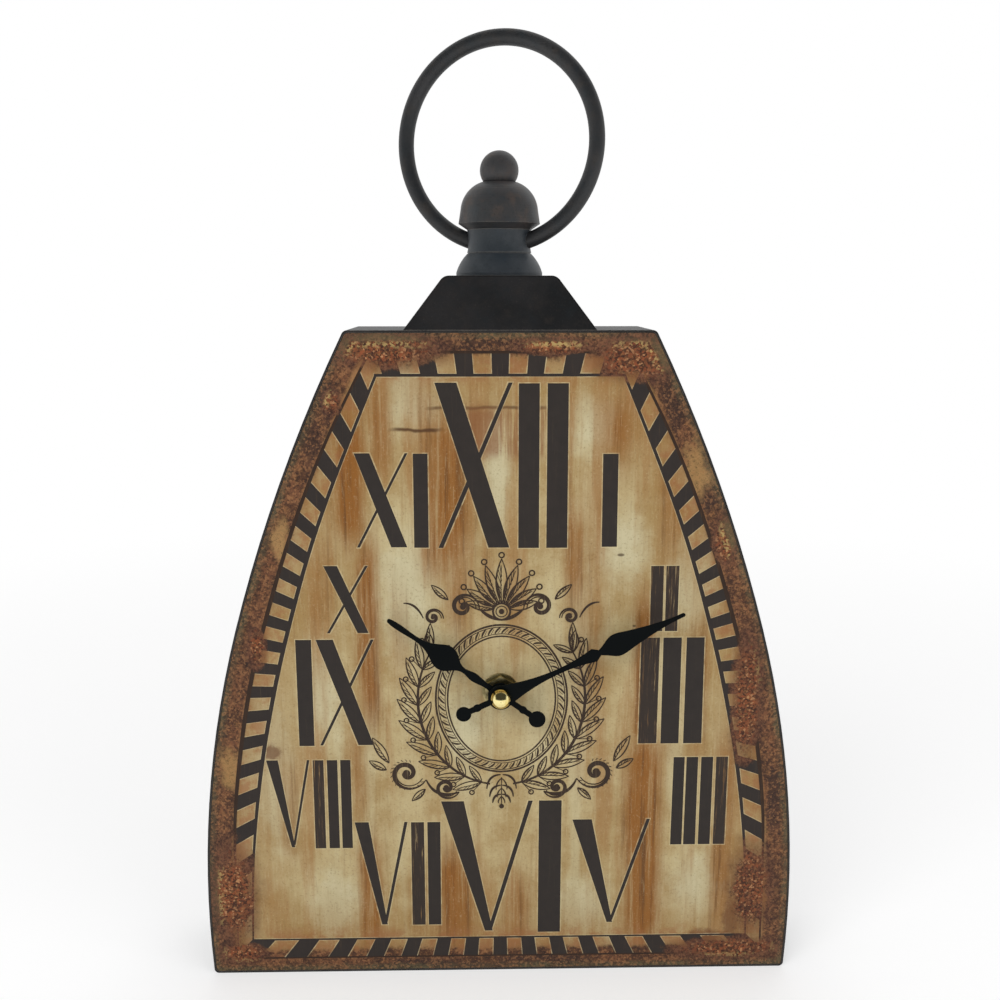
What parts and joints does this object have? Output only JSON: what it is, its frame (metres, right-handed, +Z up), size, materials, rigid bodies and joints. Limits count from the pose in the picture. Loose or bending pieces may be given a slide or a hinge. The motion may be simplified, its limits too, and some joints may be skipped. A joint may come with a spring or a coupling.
{
  "type": "table clock",
  "caption": "Table clock with a bowed trapezoid case, printed dial, sloping shoulder, turned finial and a large upright carrying ring, with spade hands on a quartz movement.",
  "frame": {"origin": "middle of the flat base that the clock stands on", "axes": "+Z up through the ring, +X to the right of the dial as it is read, +Y to the back; the dial faces -Y"},
  "size_m": [0.2418, 0.0548, 0.3772],
  "materials": {
    "black_metal": "satin",
    "dial_print": "matt",
    "hand_black": "satin",
    "brass": "polished",
    "zinc_steel": "zinc plated",
    "movement_black": "matt",
    "white_plastic": "matt",
    "copper_coil": "enamelled wire",
    "board_green": "lacquered",
    "battery_sleeve": "plain sleeve",
    "washer_rubber": "matt"
  },
  "bodies": {
    "root": {"side_band": "black_metal", "shoulder_block": "black_metal", "finial_base": "black_metal", "finial_dome": "black_metal", "finial_ball": "black_metal", "carry_ring": "black_metal", "front_panel": "black_metal", "back_panel": "black_metal", "panel_tabs": "black_metal", "dial_face": "dial_print", "fixing_nut": "brass", "fixing_washer": "brass", "threaded_bush": "brass", "panel_screws": "zinc_steel", "finial_stud": "zinc_steel", "stud_washer": "zinc_steel", "stud_nut": "zinc_steel", "stator": "zinc_steel", "coil_core": "zinc_steel", "contact_plus": "zinc_steel", "contact_minus": "zinc_steel", "movement_case": "movement_black", "movement_cover": "movement_black", "train_bridge": "white_plastic", "coil": "copper_coil", "circuit_board": "board_green", "battery": "battery_sleeve", "rubber_washer": "washer_rubber"},
    "minute": {"minute_arbor": "brass", "minute_hand": "hand_black", "cap_nut": "brass", "friction_spring": "zinc_steel"},
    "hour": {"hour_wheel": "white_plastic", "hour_hand": "hand_black"},
    "minute_wheel": {"minute_wheel": "white_plastic"},
    "setting_knob": {"setting_knob": "movement_black"},
    "centre_wheel": {"centre_wheel": "white_plastic"},
    "third_wheel": {"third_wheel": "white_plastic"},
    "seconds_wheel": {"seconds_wheel": "white_plastic"},
    "step_wheel": {"step_wheel": "white_plastic"},
    "rotor": {"rotor": "white_plastic"}
  },
  "joints": [
    {"name": "minute_hand_turn", "type": "hinge", "parent": "root", "child": "minute", "pos_m": [0, -0.012, 0.1248], "axis": [0, 1, 0], "continuous": true},
    {"name": "hour_hand_turn", "type": "hinge", "parent": "root", "child": "hour", "pos_m": [0, -0.012, 0.1248], "axis": [0, 1, 0], "continuous": true},
    {"name": "minute_wheel_turn", "type": "hinge", "parent": "root", "child": "minute_wheel", "pos_m": [0.00248, -0.012, 0.13407], "axis": [0, 1, 0], "continuous": true},
    {"name": "setting_knob_turn", "type": "hinge", "parent": "root", "child": "setting_knob", "pos_m": [0.00984, -0.012, 0.14024], "axis": [0, 1, 0], "continuous": true},
    {"name": "step_wheel_turn", "type": "hinge", "parent": "root", "child": "step_wheel", "pos_m": [0.00851, -0.012, 0.1233], "axis": [0, 1, 0], "continuous": true},
    {"name": "rotor_turn", "type": "hinge", "parent": "root", "child": "rotor", "pos_m": [0.01506, -0.012, 0.11952], "axis": [0, 1, 0], "continuous": true},
    {"name": "seconds_wheel_turn", "type": "hinge", "parent": "root", "child": "seconds_wheel", "pos_m": [0, -0.012, 0.1248], "axis": [0, 1, 0], "continuous": true},
    {"name": "third_wheel_turn", "type": "hinge", "parent": "root", "child": "third_wheel", "pos_m": [-0.00985, -0.012, 0.12744], "axis": [0, 1, 0], "continuous": true},
    {"name": "centre_wheel_turn", "type": "hinge", "parent": "root", "child": "centre_wheel", "pos_m": [0, -0.012, 0.1248], "axis": [0, 1, 0], "continuous": true}
  ],
  "couplings": [
    {"joint": "hour_hand_turn", "follows": "minute_hand_turn", "ratio": 0.083333},
    {"joint": "minute_wheel_turn", "follows": "minute_hand_turn", "ratio": -0.33333},
    {"joint": "setting_knob_turn", "follows": "minute_hand_turn", "ratio": 1},
    {"joint": "rotor_turn", "follows": "step_wheel_turn", "ratio": -6},
    {"joint": "seconds_wheel_turn", "follows": "step_wheel_turn", "ratio": -0.2},
    {"joint": "third_wheel_turn", "follows": "step_wheel_turn", "ratio": 0.026667},
    {"joint": "centre_wheel_turn", "follows": "step_wheel_turn", "ratio": -0.0033333}
  ]
}
